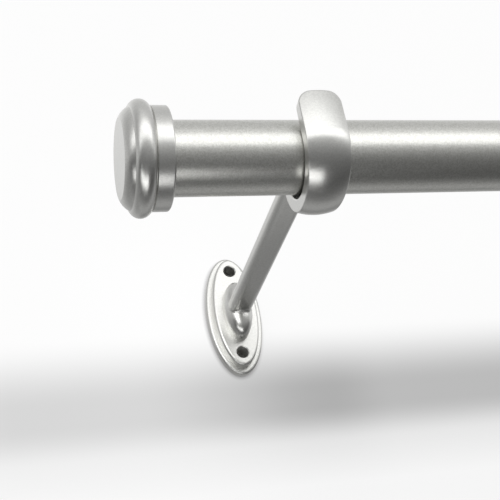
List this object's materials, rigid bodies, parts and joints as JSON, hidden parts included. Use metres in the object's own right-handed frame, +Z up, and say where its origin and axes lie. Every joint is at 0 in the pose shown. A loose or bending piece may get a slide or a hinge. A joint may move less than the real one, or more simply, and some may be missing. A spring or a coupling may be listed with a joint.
{
  "type": "curtain rod",
  "caption": "Adjustable telescoping curtain rod with beaded round end caps, carried in open cradles on straight cast arms with stepped oval wall plates.",
  "frame": {"origin": "back of the left wall plate, midway between its two screw holes", "axes": "+X along the rod to the right, +Y at the wall, +Z up"},
  "size_m": [0.7932, 0.1524, 0.058],
  "materials": {
    "painted_tube": "satin nickel paint with a fine metal fleck, on steel tube",
    "painted_cap": "satin nickel paint on a turned casting",
    "painted_casting": "satin nickel paint on a zinc casting",
    "plated_steel": "zinc plated steel",
    "nylon": "moulded nylon"
  },
  "bodies": {
    "left_end": {"left_wall_plate": "painted_casting", "left_bracket_arm": "painted_casting", "left_arm_screw": "plated_steel", "left_grub_screw": "plated_steel", "outer_tube": "painted_tube", "left_end_cap": "painted_cap", "left_cap_stud": "plated_steel", "left_tube_plug": "nylon", "mouth_bush": "nylon"},
    "right_end": {"inner_tube": "painted_tube", "glide": "nylon", "right_end_cap": "painted_cap", "right_cap_stud": "plated_steel", "right_tube_plug": "nylon", "cap_filler_ring": "nylon", "right_wall_plate": "painted_casting", "right_bracket_arm": "painted_casting", "right_arm_screw": "plated_steel", "right_grub_screw": "plated_steel"}
  },
  "joints": [
    {"name": "rod_slide", "type": "slide", "parent": "left_end", "child": "right_end", "axis": [1, 0, 0], "range_m": [-0.0508, 0.4572]}
  ]
}
